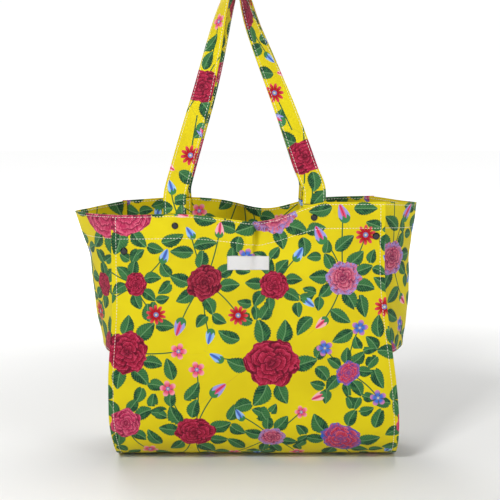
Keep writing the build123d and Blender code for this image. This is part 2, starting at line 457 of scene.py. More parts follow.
def blossom_group():
    """Small flowers: petals where the radius is under a cosine of the angle, or a drop-shaped bud."""
    group, w, source, sink = new_group("Blossom", *MOTIF_SOCKETS)
    x, y, kind, seed = motif_parts(w, source["Motif"])
    r, angle = radius_and_angle(w, x, y)
    daisy = w.is_kind(kind, DAISY)
    half_petals = w.times_plus(daisy, 2.5, 2.5)
    wave = w.size(w.math("COSINE", w.times_plus(angle, half_petals, seed)))
    outline = w.times_plus(w.math("POWER", wave, 0.6), 0.55, 0.38)
    star_mask = w.step(w.less(r, outline), 0.03, -0.03)
    line = w.step(wave, 0.55, 0.25)
    star = w.blend(daisy, colour(0.80, 0.09, 0.19), colour(0.46, 0.006, 0.014))
    star = w.blend(w.is_kind(kind, BLUE_STAR), star, colour(0.05, 0.17, 0.62))
    tip = w.blend(daisy, colour(0.90, 0.42, 0.47), colour(0.78, 0.08, 0.10))
    tip = w.blend(w.is_kind(kind, BLUE_STAR), tip, colour(0.80, 0.22, 0.36))
    star = w.blend(w.times(w.step(r, 0.45, 0.85), 0.75), star, tip)
    star = w.blend(w.times(line, 0.6), star, colour(0.12, 0.003, 0.02))
    star = w.blend(w.step(r, 0.27, 0.20), star, colour(0.16, 0.22, 0.50))
    star = w.blend(w.step(r, 0.13, 0.07), star, colour(0.75, 0.66, 0.35))

    belly = w.math("SQRT", w.math("MAXIMUM", w.less(1.0, w.times(x, x)), 0.0))
    width = w.times(belly, w.times_plus(x, -0.22, 0.52))
    across = w.size(y)
    bud_mask = w.step(w.less(across, width), 0.03, -0.03)
    fold = w.size(w.math("SINE", w.math("DIVIDE", w.times(y, 3.4), belly)))
    bud = w.blend(w.is_kind(kind, BLUE_BUD), colour(0.76, 0.06, 0.15), colour(0.03, 0.16, 0.62))
    pale = w.blend(w.is_kind(kind, BLUE_BUD), colour(0.90, 0.45, 0.50), colour(0.30, 0.50, 0.85))
    pale = w.blend(w.is_kind(kind, TULIP), pale, colour(0.33, 0.32, 0.74))
    bud = w.blend(w.step(fold, 0.35, 0.85), bud, pale)
    bud = w.blend(w.times(w.step(fold, 0.16, 0.04), 0.8), bud, colour(0.20, 0.003, 0.03))
    cup = w.times_plus(w.math("SINE", w.times(y, 14.0)), 0.16, -0.38)
    bud = w.blend(w.step(w.less(x, cup), 0.03, -0.03), bud, colour(0.05, 0.22, 0.07))
    is_bud = w.math("GREATER_THAN", kind, TULIP - 0.5)
    w.put(sink["Colour"], w.blend(is_bud, star, bud))
    mask = w.node("ShaderNodeMix", {0: is_bud, 2: star_mask, 3: bud_mask}).outputs[0]
    w.put(sink["Mask"], mask)
    return group


def print_group():
    """The whole print: ground, then stems, leaves, small flowers and roses over each other."""
    layers = ["Stem motif", "Leaf motif", "Blossom motif", "Rose motif"]
    group, w, source, sink = new_group(
        "Flower print", [("Ground", "Color"), *((name, "Vector") for name in layers)], [("Colour", "Color")]
    )
    stem_x, stem_y, _, bow = motif_parts(w, source["Stem motif"])
    middle = w.times(w.less(bow, 0.5), w.less(1.0, w.math("POWER", stem_x, 2.0)))
    off = w.size(w.less(stem_y, w.times(middle, 2.0)))
    stem = w.times(w.step(off, 0.17, 0.11), w.step(w.size(stem_x), 1.02, 0.98))
    shade = w.blend(stem, source["Ground"], colour(0.03, 0.13, 0.045))
    for name, maker in (("Leaf", leaf_group), ("Blossom", blossom_group), ("Rose", rose_group)):
        motif = w.node("ShaderNodeGroup", node_tree=maker())
        w.put(motif.inputs["Motif"], source[f"{name} motif"])
        shade = w.blend(motif.outputs["Mask"], shade, motif.outputs["Colour"])
    w.put(sink["Colour"], shade)
    return group


def weave_group():
    """Plain weave: two crossed sine waves of the cloth's own coordinates, and slow wrinkles.

    Height rises on each thread, and the shade darkens a little between threads.
    """
    group, w, source, sink = new_group(
        "Plain weave",
        [("Cloth", "Vector"), ("Place", "Vector"), ("Pitch", "Float"), ("Wrinkle", "Float")],
        [("Height", "Float"), ("Shade", "Float"), ("Wear", "Float")],
    )
    p, q, _ = w.parts(source["Cloth"])
    turns = w.math("DIVIDE", math.pi, source["Pitch"])
    warp = w.math("SINE", w.times(p, turns))
    weft = w.math("SINE", w.times(q, turns))
    threads = w.times(w.size(warp), w.size(weft))
    broad = w.noise(source["Place"], 26.0, 2.0)
    fine = w.noise(source["Place"], 90.0, 3.0)
    slow = w.times_plus(fine, 0.35, broad)
    height = w.times_plus(slow, source["Wrinkle"], w.times(threads, 0.06))
    w.put(sink["Height"], height)
    w.put(sink["Shade"], w.times_plus(threads, 0.10, 0.93))
    w.put(sink["Wear"], w.noise(source["Place"], 14.0, 3.0))
    return group


def new_material(name):
    """A material with a Principled shader, and a Weaver on its tree."""
    material = bpy.data.materials.new(name)
    material.use_nodes = True
    shader = material.node_tree.nodes["Principled BSDF"]
    return material, Weaver(material.node_tree), shader


def group_node(w, name):
    """A node holding the group of that name."""
    return w.node("ShaderNodeGroup", node_tree=bpy.data.node_groups[name])


def attribute(w, name):
    """A mesh attribute's vector."""
    return w.node("ShaderNodeAttribute", attribute_name=name).outputs["Vector"]


def set_levels(shader, levels):
    """Sets the shader's values that are the same all over a surface."""
    for name, value in levels.items():
        shader.inputs[name].default_value = value


def two_tones(tint, dim):
    """A colour, and the same one dimmed."""
    return colour(*tint), colour(*(c * dim for c in tint))


def printed_cloth(name, dim, wrinkle):
    """Printed cotton: the flower print on a ground dimmed by dim on inner faces as painted shade, with weave
    and wrinkles.
    """
    material, w, shader = new_material(name)
    place = w.place()
    cloth = w.node("ShaderNodeUVMap", uv_map="Cloth").outputs[0]
    metres = w.node("ShaderNodeVectorMath", {0: cloth, 1: (0.5, 0.5, 0.5)}, operation="MULTIPLY").outputs[0]
    weave = group_node(w, "Plain weave")
    for label, value in (("Cloth", metres), ("Place", place), ("Pitch", 0.00055), ("Wrinkle", wrinkle)):
        w.put(weave.inputs[label], value)
    flowers = group_node(w, "Flower print")
    tone = w.step(weave.outputs["Wear"], 0.30, 0.72)
    # dim darkens only the ground, not the flowers: painted shade for cloth inside the bag
    ground = colour(*(c * dim for c in colours().ground))
    deep = colour(*(c * dim * s for c, s in zip(colours().ground, (0.90, 0.86, 0.8))))
    w.put(flowers.inputs["Ground"], w.blend(tone, deep, ground))
    for layer in ("Stem", "Leaf", "Blossom", "Rose"):
        w.put(flowers.inputs[f"{layer} motif"], attribute(w, f"{layer.lower()}_motif"))
    shaded = w.blend(1.0, flowers.outputs["Colour"], w.grey(weave.outputs["Shade"]), "MULTIPLY")
    w.put(shader.inputs["Base Color"], shaded)
    w.put(shader.inputs["Roughness"], w.times_plus(weave.outputs["Wear"], 0.16, 0.56))
    set_levels(shader, {"Specular IOR Level": 0.14, "Sheen Weight": 0.05, "Sheen Roughness": 0.5})
    w.relief(shader, weave.outputs["Height"], 0.5, 0.0016)
    return material


def thread_material():
    """Twisted sewing thread: fine slanting ridges and a slight sheen."""
    material, w, shader = new_material("Sewing thread")
    twist = w.noise(w.place(), 900.0, 2.0)
    pale, shade = two_tones(colours().thread, 0.78)
    w.put(shader.inputs["Base Color"], w.blend(w.step(twist, 0.35, 0.6), shade, pale))
    w.put(shader.inputs["Roughness"], w.times_plus(twist, 0.2, 0.45))
    set_levels(shader, {"Sheen Weight": 0.2})
    w.relief(shader, twist, 0.4, 0.0002)
    return material


def label_material():
    """Woven label tape: fine ribs across, turned ends a little darker."""
    material, w, shader = new_material("Label tape")
    rib_pitch, pick_pitch = 0.0005, 0.0007
    x, _, z = w.parts(w.place())
    ribs = w.size(w.math("SINE", w.times(z, math.pi / rib_pitch)))
    picks = w.size(w.math("SINE", w.times(x, math.pi / pick_pitch)))
    threads = w.times_plus(ribs, 0.6, w.times(picks, 0.4))
    pale, shade = two_tones(colours().label, 0.74)
    half, middle = (LABEL_HIGH - LABEL_LOW) / 2, (LABEL_HIGH + LABEL_LOW) / 2
    from_end = w.less(half[0], w.size(w.less(x, middle[0])))
    from_side = w.less(half[2], w.size(w.less(z, middle[2])))
    selvedge = w.math("MAXIMUM", w.step(from_end, 0.0016, 0.0006), w.step(from_side, 0.0010, 0.0003))
    woven = w.blend(threads, shade, pale)
    w.put(shader.inputs["Base Color"], w.blend(w.times(selvedge, 0.7), woven, shade))
    w.put(shader.inputs["Roughness"], w.times_plus(threads, 0.15, 0.42))
    set_levels(shader, {"Sheen Weight": 0.25})
    w.relief(shader, threads, 0.35, 0.0002)
    return material


def enamel_material(name, tint, metallic, gloss):
    """Metal with faint rubbing marks: lacquered where metallic is 0, plated where it is 1."""
    material, w, shader = new_material(name)
    rub = w.noise(w.place(), 420.0, 3.0, 0.6)
    worn = colour(*(min(1.0, c * 1.7 + 0.004) for c in tint))
    w.put(shader.inputs["Base Color"], w.blend(w.step(rub, 0.45, 0.75), colour(*tint), worn))
    w.put(shader.inputs["Roughness"], w.times_plus(rub, 0.10, gloss))
    coat, specular = (0.0, 0.5) if metallic else (0.6, 0.15)
    levels = {"Metallic": metallic, "Coat Weight": coat, "Coat Roughness": 0.03}
    set_levels(shader, {**levels, "Specular IOR Level": specular})
    return material


def floor_material():
    """Smooth pale studio floor that glows more further away: painted light that brightens it to the
    backdrop's white.
    """
    material, w, shader = new_material("Studio floor")
    place = w.place()
    mottle = w.noise(place, 3.0, 3.0)
    pale, shade = two_tones(colours().floor, 0.97)
    w.put(shader.inputs["Base Color"], w.blend(mottle, shade, pale))
    x, y, _ = w.parts(place)
    # Emission that grows with the distance from the bag: painted light, a glow on a floor that is no lamp
    painted_glow = w.step(w.math("SQRT", w.times_plus(x, x, w.times(y, y))), 0.25, 1.6)
    w.put(shader.inputs["Emission Color"], w.grey(w.times(painted_glow, 0.80)))
    set_levels(shader, {"Roughness": 0.62, "Emission Strength": 1.0})
    return material


# Meshes


def grid_faces(rows, columns):
    """The quads of a grid whose points run along each row in turn."""
    index = np.arange(rows * columns).reshape(rows, columns)
    corners = (index[:-1, :-1], index[:-1, 1:], index[1:, 1:], index[1:, :-1])
    return np.stack(corners, axis=-1).reshape(-1, 4)


def tube_faces(rings, points):
    """The quads round a closed profile carried along a path."""
    index = np.arange(rings * points).reshape(rings, points)
    ahead = np.roll(index, -1, axis=1)
    corners = (index[:-1], ahead[:-1], ahead[1:], index[1:])
    return np.stack(corners, axis=-1).reshape(-1, 4)


def build(name, points, faces, material):
    """A smooth mesh object from whole arrays of points and quads. Its open borders are sharp."""
    mesh = bpy.data.meshes.new(name)
    mesh.vertices.add(len(points))
    mesh.vertices.foreach_set("co", np.ascontiguousarray(points, np.float32).ravel())
    mesh.loops.add(faces.size)
    mesh.loops.foreach_set("vertex_index", faces.astype(np.int32).ravel())
    mesh.polygons.add(len(faces))
    mesh.polygons.foreach_set("loop_start", np.arange(0, faces.size, 4, dtype=np.int32))
    mesh.update(calc_edges=True)
    mesh.polygons.foreach_set("use_smooth", np.ones(len(faces), bool))
    sides = np.empty(faces.size, np.int32)
    mesh.loops.foreach_get("edge_index", sides)
    border = np.bincount(sides, minlength=len(mesh.edges)) == 1
    mesh.attributes.new("sharp_edge", "BOOLEAN", "EDGE").data.foreach_set("value", border)
    mesh.materials.append(material)
    mesh.validate()
    made = bpy.data.objects.new(name, mesh)
    bpy.context.collection.objects.link(made)
    return made


def lay_motifs(mesh, corners, name, motifs):
    """Writes, for every corner, its place in the motif nearest to its face.

    A motif is a row of place, half length, half width, direction in degrees and code.
    The nearest is the one whose ellipse reaches the face first, and the distances wrap
    round the printed repeat. All corners of a face use one motif, so each is drawn whole.
    """
    table = np.array(motifs, float)
    middle = corners.mean(axis=1)
    apart = apart_on_repeat(middle, table[:, :2])
    turn = np.radians(table[:, 4])
    cosine, sine = np.cos(turn), np.sin(turn)
    along = (apart[..., 0] * cosine + apart[..., 1] * sine) / table[:, 2]
    across = (apart[..., 1] * cosine - apart[..., 0] * sine) / table[:, 3]
    best = np.argmin(along**2 + across**2, axis=1)
    row = np.arange(len(middle))
    offset = corners - middle[:, None, :] + apart[row, best][:, None, :]
    chosen = table[best]
    cosine, sine = cosine[best][:, None], sine[best][:, None]
    local = np.empty((*corners.shape[:2], 3))
    local[..., 0] = (offset[..., 0] * cosine + offset[..., 1] * sine) / chosen[:, 2][:, None]
    local[..., 1] = (offset[..., 1] * cosine - offset[..., 0] * sine) / chosen[:, 3][:, None]
    local[..., 2] = chosen[:, 5][:, None]
    made = mesh.attributes.new(name, "FLOAT_VECTOR", "CORNER")
    made.data.foreach_set("vector", local.astype(np.float32).ravel())


def apart_on_repeat(places, others):
    """Offsets from the others to the places, the short way round the printed repeat."""
    size = np.array(REPEAT)
    return np.remainder(places[:, None, :] - others[None, :, :] + size / 2, size) - size / 2


def most_room(spots, taken):
    """The spot that is furthest from the discs already taken, and how far that is."""
    discs = np.array(taken)
    apart = apart_on_repeat(spots, discs[:, :2])
    room = (np.hypot(apart[..., 0], apart[..., 1]) - discs[:, 2]).min(axis=1)
    best = int(np.argmax(room))
    return spots[best], float(room[best])


def fan_of_leaves(number, rose):
    """Leaves round a rose like the rays of a fan, with a second pair beyond every other ray.

    A rose is its place and radius. Its number picks how many rays there are and turns them.
    """
    x, z, radius = rose
    count = 6 + number % 2
    leaves = []
    for k in range(count):
        ray = 47 * number + k * 360 / count + 12 * math.sin(2.1 * k + number)
        length = 6.5 + radius * (0.22 + 0.05 * math.sin(3.3 * k + number))
        away = radius * 0.93 + length * 0.52
        twigs = [(ray, away, length, 18 * math.cos(k + number))]
        if k % 2 == number % 2:
            further, shorter = away + length * 1.45, length * 0.82
            twigs += [(ray + side * 13, further, shorter, side * 38) for side in (-1, 1)]
        for direction, reach, size, turn in twigs:
            aside = reach * math.cos(math.radians(direction))
            above = reach * math.sin(math.radians(direction))
            bend = 0.45 + 0.4 * math.sin(5.0 * k + 2 * number + reach)
            leaves.append((x + aside, z + above, size, size * 0.95, direction + turn, bend))
    return leaves


def motif_layers():
    """The four layers of motifs, each one after the first rose set where there is most room.

    The roses come first with leaves round them, then the small flowers on stems that
    start at the nearest rose, and last single leaves in the gaps.
    """
    spots = np.random.default_rng(11).uniform(0, 1, (SPOTS, 2)) * REPEAT
    roses, leaves, stems, blossoms = [], [], [], []
    taken = []
    for i, (radius, kind) in enumerate(ROSES):
        x, z = most_room(spots, taken)[0] if taken else FIRST_ROSE
        taken.append((x, z, radius * ROSE_ROOM))
        half_width = radius * (0.9 + 0.1 * math.sin(i))
        roses.append((x, z, radius, half_width, 37 * i, kind + 0.07 * i % 0.9))
        leaves += fan_of_leaves(i, (x, z, radius))
    centres = np.array(roses)[:, :2]
    for i, (size, kind) in enumerate(BLOSSOMS * BLOSSOM_ROUNDS):
        spot, room = most_room(spots, taken)
        size = min(size, room * 1.4)
        away = apart_on_repeat(spot[None, :], centres)[0]
        nearest = away[np.argmin(np.hypot(away[:, 0], away[:, 1]))]
        angle = math.degrees(math.atan2(nearest[1], nearest[0]))
        run = math.hypot(*nearest) / 2
        stems.append((*(spot - nearest / 2), run, 5.0, angle, 0.5 + 0.35 * math.sin(2.7 * i)))
        blossoms.append((*spot, size, size, angle + 25 * math.sin(i), kind + 0.05 + 0.018 * i))
        taken.append((*spot, size * 0.9))
    taken += [(leaf[0], leaf[1], leaf[2] * 0.45) for leaf in leaves]
    for i in range(FILLING_LEAVES):
        spot, room = most_room(spots, taken)
        length = min(13.0, room + 4.0)
        angle = 137.5 * i
        leaves.append((*spot, length, length * 0.80, angle, 0.45 + 0.4 * math.sin(3.7 * i)))
        taken.append((*spot, length * 0.5))
    return {"stem_motif": stems, "leaf_motif": leaves, "blossom_motif": blossoms, "rose_motif": roses}


LAYERS = motif_layers()


def cloth_piece(name, points, cloth, material, faces):
    """A cloth mesh with its flat coordinates as a UV map in half metres, and the print on it."""
    made = build(name, points.reshape(-1, 3), faces, material)
    flat = cloth.reshape(-1, 2)[faces]
    layer = made.data.uv_layers.new(name="Cloth")
    layer.data.foreach_set("uv", (flat * 2).astype(np.float32).ravel())
    for attribute_name, motifs in LAYERS.items():
        lay_motifs(made.data, flat / MM, attribute_name, motifs)
    return made


def cloth_sheet(name, points, cloth, material, thickness, outside):
    """An open sheet of cloth that thickens inwards from the given surface.

    Its faces are turned to the side that outside points to, a rough outward direction.
    """
    made = cloth_piece(name, points, cloth, material, faces_towards(points, outside))
    thicken(made, thickness)
    return made


def faces_towards(points, direction):
    """The quads of a grid of points, turned to the side that direction points to at its middle."""
    rows, columns = points.shape[:2]
    faces = grid_faces(rows, columns)
    normal = surface_normals(points)[rows // 2, columns // 2]
    return faces[:, ::-1] if np.dot(normal, direction) < 0 else faces


def thicken(piece, thickness):
    """Gives an open sheet its thickness, against its faces' outward side."""
    solid = piece.modifiers.new("Thickness", "SOLIDIFY")
    solid.thickness = thickness
    solid.offset = -1


def surface_normals(points):
    """Unit normals of a grid of points, from its slopes along both directions."""
    along = np.gradient(points, axis=1)
    up = np.gradient(points, axis=0)
    normal = np.cross(along, up)
    return normal / np.maximum(np.linalg.norm(normal, axis=-1, keepdims=True), 1e-12)


def outward(points, direction):
    """The grid's normals, turned to the side that direction points to at its middle."""
    normal = surface_normals(points)
    rows, columns = points.shape[:2]
    return normal if np.dot(normal[rows // 2, columns // 2], direction) > 0 else -normal


def smooth_step(value, low, high):
    """Rises from 0 at low to 1 at high along a cubic, or falls where high is below low."""
    t = np.clip((value - low) / (high - low), 0, 1)
    return t * t * (3 - 2 * t)


def hump(value, middle, width):
    """A bell curve of height 1."""
    return np.exp(-(((value - middle) / width) ** 2))


# The bag's surfaces


def left_edge(z):
    """Where the bag's left edge stands at a height: widest where the mat fills the sling."""
    return -(0.1520 + 0.0060 * smooth_step(z, 0.19, 0.09) - 0.0050 * smooth_step(z, 0.06, 0.0))


def right_edge(z):
    """Where the bag's right edge stands at a height: it flares towards the sling."""
    return 0.1478 + 0.0195 * smooth_step(z, 0.235, 0.035)


def rim_line(side, x):
    """The height of a panel's rim.

    The front is level from the left to the tuck, where it sags, and rises to a higher
    level at the right handle. The back sags between the handles.
    """
    s = sizes()
    if side == FRONT:
        line = s.rim_height + s.rim_rise * smooth_step(x, 0.018, 0.085)
        line = line + 0.0012 * hump(x, -0.085, 0.03) - 0.0024 * hump(x, 0.0125, 0.0055)
        return line - s.rim_sag * hump(x, 0.004, 0.042)
    line = s.rim_height + 0.0065 + 0.02 * x + 0.0030 * hump(x, -0.085, 0.05)
    return line - 1.85 * s.rim_sag * hump(x, 0.020, 0.040)


def calm(x, z):
    """0 close to a rivet or a snap, where the cloth lies flat under the metal, else 1."""
    half_fastener, reach = 0.0038, 0.010
    near = 0.0
    for node in ("front_rivets", "front_snap_caps"):
        low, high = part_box(node)
        for spot_x, spot_z in ((low[0], low[2]), (high[0], high[2])):
            middle_x = spot_x + math.copysign(half_fastener, -spot_x)
            middle_z = spot_z + math.copysign(half_fastener, (low[2] + high[2]) / 2 - spot_z)
            near = near + np.exp(-(((x - middle_x) ** 2 + (z - middle_z) ** 2) / reach**2))
    return 1 - np.clip(near, 0, 1)


def ripples(x, z, seed):
    """Soft wrinkles: a few crossed sine waves of 20 to 70 mm, about half a millimetre high."""
    total = np.zeros(np.broadcast(x, z).shape)
    for k in range(6):
        angle = seed * 1.7 + k * 2.4
        wave = 2 * np.pi / (0.022 + 0.009 * k)
        total = total + np.sin(wave * (x * np.cos(angle) + z * np.sin(angle)) + seed + 3 * k) / (k + 2.5)
    return total * 0.0005


def broad_folds(x, z, seed):
    """Broad soft folds: three crossed waves of 60 to 110 mm, up to three millimetres high."""
    total = np.zeros(np.broadcast(x, z).shape)
    for k in range(3):
        angle = seed * 0.9 + k * 1.1
        wave = 2 * np.pi / (0.060 + 0.025 * k)
        total = total + np.sin(wave * (x * np.cos(angle) + z * np.sin(angle)) + 2 * seed + k)
    return total * 0.0011


def between_edges(u, z):
    """The place across the bag at a height: its left edge where u is -1, its right where 1."""
    return (left_edge(z) * (1 - u) + right_edge(z) * (1 + u)) / 2


def panel_surface(side, u, v):
    """A panel: u from -1 at its left edge to 1 at its right, v from 0 at its foot to 1 at its rim.

    It stands at the bag's depth and falls inwards towards the middle of the rim, where
    the front also has one upright tuck: a narrow groove that fades downwards.
    """
    s = sizes()
    centre, reach, hollow, hollow_top, gap = 0.002, 0.140, 0.0026, 0.78, 0.0001
    slant, fan_depth, flap, overhang = 0.010, 0.0022, 0.0085, 0.0090
    z = PANEL_FOOT + v * PANEL_RISE
    # The edges go by the height and the rim by the place across, so each is found twice
    for _ in range(2):
        x = between_edges(u, z)
        z = PANEL_FOOT + gap + v * (rim_line(side, x) - PANEL_FOOT - gap)
    height = (z - PANEL_FOOT) / PANEL_RISE
    # The hollow of the rim's middle, and the panel's own slight hollow below it
    middle = np.cos(np.clip((x - centre) / reach, -0.5, 0.5) * np.pi) ** 2
    dent = s.panel_dent * (0.35 if side == BACK else 1.0) * middle * smooth_step(height, 0.1, 0.9)
    dent = dent + hollow * np.sin(np.pi * np.clip(height / hollow_top, 0, 1)) ** 2 * (1 - u**4)
    under = 0.0
    if side == FRONT:
        # The tuck's groove, the fan of cloth it pulls at its right, and the flap at its left
        shift = slant * (1 - height)
        groove = smooth_step(x + shift, 0.0055, 0.0105) * smooth_step(x + shift, 0.0215, 0.0110)
        groove = groove * smooth_step(height, 0.58, 0.92)
        fan = smooth_step(x - 2.2 * shift, 0.004, 0.016) * smooth_step(x - 5.0 * shift, 0.056, 0.018)
        dent = dent + s.tuck_depth * groove + fan_depth * fan * smooth_step(height, 0.20, 0.75)
        dent = dent - flap * hump(x + shift, 0.0005, 0.0085) * smooth_step(height, 0.35, 0.90)
        under = overhang * groove
    slow = broad_folds(x, z, 4 + 3 * side) * smooth_step(height, 0.0, 0.3)
    slow = slow * smooth_step(height, 1.02, 0.7) * (0.6 if side == BACK else 1.2)
    edge = 1 - np.abs(u) ** 12
    fine = ripples(x, z, 2 + side) * smooth_step(height, 0.0, 0.2)
    dent = (dent + slow + fine) * edge * calm(x, z)
    y = side * (HALF_DEPTH - np.clip(dent, -0.006, 1))
    return np.stack(np.broadcast_arrays(x - under, y, z), axis=-1)


def gusset_surface(side, s, v):
    """A gusset: s from 0 at the front seam to 1 at the rear seam, v from its foot to its rim.

    In plan it bulges out to a soft crease halfway, further at the rim than at the foot,
    and its rim runs from the front panel's corner to the back panel's with a small sag.
    """
    inset, overlap, rim_dip, crumple = 0.0045, 0.0012, 0.004, 0.0022
    edge = left_edge if side == LEFT else right_edge
    corner = edge(0.28)
    front_rim, back_rim = rim_line(FRONT, corner), rim_line(BACK, corner)
    rim = front_rim * (1 - s) + back_rim * s - rim_dip * np.sin(np.pi * s)
    z = PANEL_FOOT + v * (rim - PANEL_FOOT)
    seam = np.abs(edge(z)) - inset
    if side == LEFT:
        tip = 0.1700 + 0.0230 * v + 0.0050 * v**6
    else:
        tip = 0.1775 + 0.0085 * np.sin(v * np.pi / 2) + 0.0025 * v**8
    bulge = 1 - np.abs(2 * s - 1) ** 1.45
    fold = crumple * np.sin(np.pi * s) ** 2 * np.sin(11 * s + 9 * v) * (0.3 + 0.7 * v)
    x = side * (seam + (tip - seam) * bulge + fold)
    y = -SEAM_Y - overlap + 2 * (SEAM_Y + overlap) * s
    x = x + side * ripples(y, z, 5 + side) * np.sin(np.pi * s)
    return np.stack(np.broadcast_arrays(x, y, z), axis=-1)


def sling_profile(s):
    """The sling's outline across the bag: straight sides, then a slightly squared half circle.

    Returns y, z and the length of cloth from the front edge, for s from 0 to 1.
    """
    square = 0.88
    fine = np.linspace(0, 1, 2001)
    straight = PANEL_FOOT - HALF_DEPTH
    total = 2 * straight + np.pi * HALF_DEPTH
    path = fine * total
    turn = np.clip((path - straight) / HALF_DEPTH, 0, np.pi)
    y = -HALF_DEPTH * np.sign(np.cos(turn)) * np.abs(np.cos(turn)) ** square
    z = HALF_DEPTH - HALF_DEPTH * np.abs(np.sin(turn)) ** square
    z = z + np.clip(straight - path, 0, None) + np.clip(path - (total - straight), 0, None)
    length = np.concatenate([[0], np.cumsum(np.hypot(np.diff(y), np.diff(z)))])
    wanted = s * length[-1]
    return np.interp(wanted, length, y), np.interp(wanted, length, z), wanted


def sling_surface(u, s):
    """The sling: u across the bag, s from its front edge under the mat to its rear edge."""
    y, z, length = sling_profile(s)
    x = between_edges(u, z)
    soft = ripples(x, length, 9) + 0.7 * broad_folds(x, length, 2)
    soft = soft * np.sin(np.pi * s) ** 0.7 * (1 - np.abs(u) ** 12)
    below = (z - HALF_DEPTH) / HALF_DEPTH * (z < HALF_DEPTH)
    spread = np.sqrt((y / HALF_DEPTH) ** 2 + below**2) + 1e-6
    y = y * (1 - soft / HALF_DEPTH / spread)
    return np.stack(np.broadcast_arrays(x, y, z), axis=-1), length


def parameter_grid(width, height, low=-1.0):
    """Two parameters on a grid whose faces are about one mesh step wide."""
    step = sizes().mesh_step
    across = np.linspace(low, 1, max(3, int(width / step)) + 1)
    up = np.linspace(0, 1, max(3, int(height / step)) + 1)
    return np.meshgrid(across, up)


def inward(points, direction, distance):
    """The surface moved a distance against its outward normal."""
    return points - outward(points, direction) * distance


def hem_line():
    """The faced hem's lower edge, as a share of a wall's height."""
    return 1 - sizes().hem_depth / PANEL_RISE


def wall_layers(flat):
    """A wall's outer cloth, lining and faced hem.

    Each is its depth inside the wall, lowest and highest share of the wall's height,
    thickness, material, slot and way of laying the print.
    """
    hem = hem_line()
    return [
        (0.0, 0.0, 1.0, sizes().cloth_thickness, "Printed cloth", "printed_cloth", flat),
        (LINING_DEPTH, 0.0, hem, LINING_THICKNESS, "Printed lining", "lining_cloth", lined(flat)),
        (FACING_DEPTH, hem, 1.0, FACING_THICKNESS, "Printed cloth", "printed_cloth", lined(flat)),
    ]


def wall(name, surface, across, direction, layer):
    """One layer of a wall. Returns it with its cut height and its slot."""
    depth, low, high, thickness, look, slot, cloth_of = layer
    width, start = across
    rise = PANEL_RISE * (high - low)
    u, v = parameter_grid(width, rise, start)
    points = surface(u, low + v * (high - low))
    moved = inward(points, direction, depth)
    cloth = bpy.data.materials[look]
    piece = cloth_sheet(name, moved, cloth_of(points), cloth, thickness, direction)
    return piece, rise, slot


def panel_cloth(side):
    """The flat coordinates of a panel: the front is cut round the middle of the print."""

    def flat(points):
        x, z = points[..., 0], points[..., 2]
        if side == FRONT:
            return np.stack([x, z], axis=-1)
        return np.stack([0.115 - x, z + 0.020], axis=-1)

    return flat


def gusset_cloth(side):
    """The flat coordinates of a gusset: its length round the bulge, and its height."""

    def flat(points):
        y, z = points[..., 1], points[..., 2]
        start, rise = (-0.147, 0.004) if side == LEFT else (0.118, -0.02)
        return np.stack([start - side * (y + SEAM_Y) * 1.1, z + rise], axis=-1)

    return flat


def lined(flat):
    """The same print cut elsewhere, for an inner layer."""

    def moved(points):
        return flat(points) * np.array([-1.0, 1.0]) + np.array([0.062, 0.055])

    return moved


# Threads


def stitches(name, rows, material):
    """Runs of short thread lengths, each a six-sided capsule that lies on the cloth.

    A row is a line of points with the cloth's outward normals. Stitches stand at equal
    distances along it, each as long as two thirds of the pitch.
    """
    pitch, thick = sizes().stitch_pitch, 0.00027
    half, raised, flattened = pitch * 0.34, 0.35, 0.75
    ring = np.arange(6) * np.pi / 3
    lengths = np.array([-1.0, -0.82, 0.82, 1.0])
    widths = np.array([0.35, 1.0, 1.0, 0.35])
    all_points = []
    for line, normals in rows:
        gaps = np.linalg.norm(np.diff(line, axis=0), axis=1)
        distance = np.concatenate([[0], np.cumsum(gaps)])
        count = max(1, int(distance[-1] / pitch))
        middles = (np.arange(count) + 0.5) * distance[-1] / count
        start, end, middle, up = (
            np.stack([np.interp(middles + shift, distance, values[:, i]) for i in range(3)], axis=1)
            for values, shift in ((line, -half), (line, half), (line, 0.0), (normals, 0.0))
        )
        along = end - start
        along = along / np.linalg.norm(along, axis=1, keepdims=True)
        up = up - along * (up * along).sum(1, keepdims=True)
        up = up / np.linalg.norm(up, axis=1, keepdims=True)
        side = np.cross(along, up)
        centre = middle + up * thick * raised
        round_it = (
            side[:, None, None, :] * np.cos(ring)[None, None, :, None]
            + up[:, None, None, :] * np.sin(ring)[None, None, :, None] * flattened
        ) * (widths * thick)[None, :, None, None]
        body = centre[:, None, None, :] + along[:, None, None, :] * (lengths * half)[None, :, None, None]
        all_points.append((body + round_it).reshape(-1, 3))
    points = np.concatenate(all_points)
    ends = [[0, 5, 4, 3], [0, 3, 2, 1], [18, 19, 20, 21], [18, 21, 22, 23]]
    one = np.concatenate([tube_faces(4, 6), ends])
    faces = (np.arange(len(points) // 24)[:, None, None] * 24 + one[None]).reshape(-1, 4)
    made = build(name, points, faces, material)
    return made


def row_on(surface, first, second, direction):
    """A stitch row along a line of two parameters on a surface, with the normals there."""
    line = surface(first, second)
    nudge = 1e-3
    across = surface(first + nudge, second) - surface(first - nudge, second)
    up = surface(first, second + nudge) - surface(first, second - nudge)
    normal = np.cross(across, up)
    normal = normal / np.linalg.norm(normal, axis=1, keepdims=True)
    if np.dot(normal[len(normal) // 2], direction) < 0:
        normal = -normal
    return line, normal


def both_faces(surface, first, second, direction, depth):
    """The row on the outside, and the same row through to the inside."""
    outside = row_on(surface, first, second, direction)
    line, normal = outside
    return [outside, (line - normal * depth, -normal)]


# Operators


class TOTE_OT_materials(bpy.types.Operator):
    """Makes the node groups and the materials."""

    bl_idname = "tote.materials"
    bl_label = "Cloth, thread and metal"

    def execute(self, context):
        print_group()
        weave_group()
        printed_cloth("Printed cloth", 1.0, 0.85)
        # The lining's ground is dimmed to 0.92: painted shade for the inside of the bag
        printed_cloth("Printed lining", 0.92, 1.1)
        printed_cloth("Printed strap", 1.0, 0.5)
        thread_material()
        label_material()
        enamel_material("Black enamel", colours().fastener, 0.0, 0.12)
        enamel_material("Dull nickel", (0.45, 0.44, 0.42), 1.0, 0.32)
        floor_material()
        return {"FINISHED"}


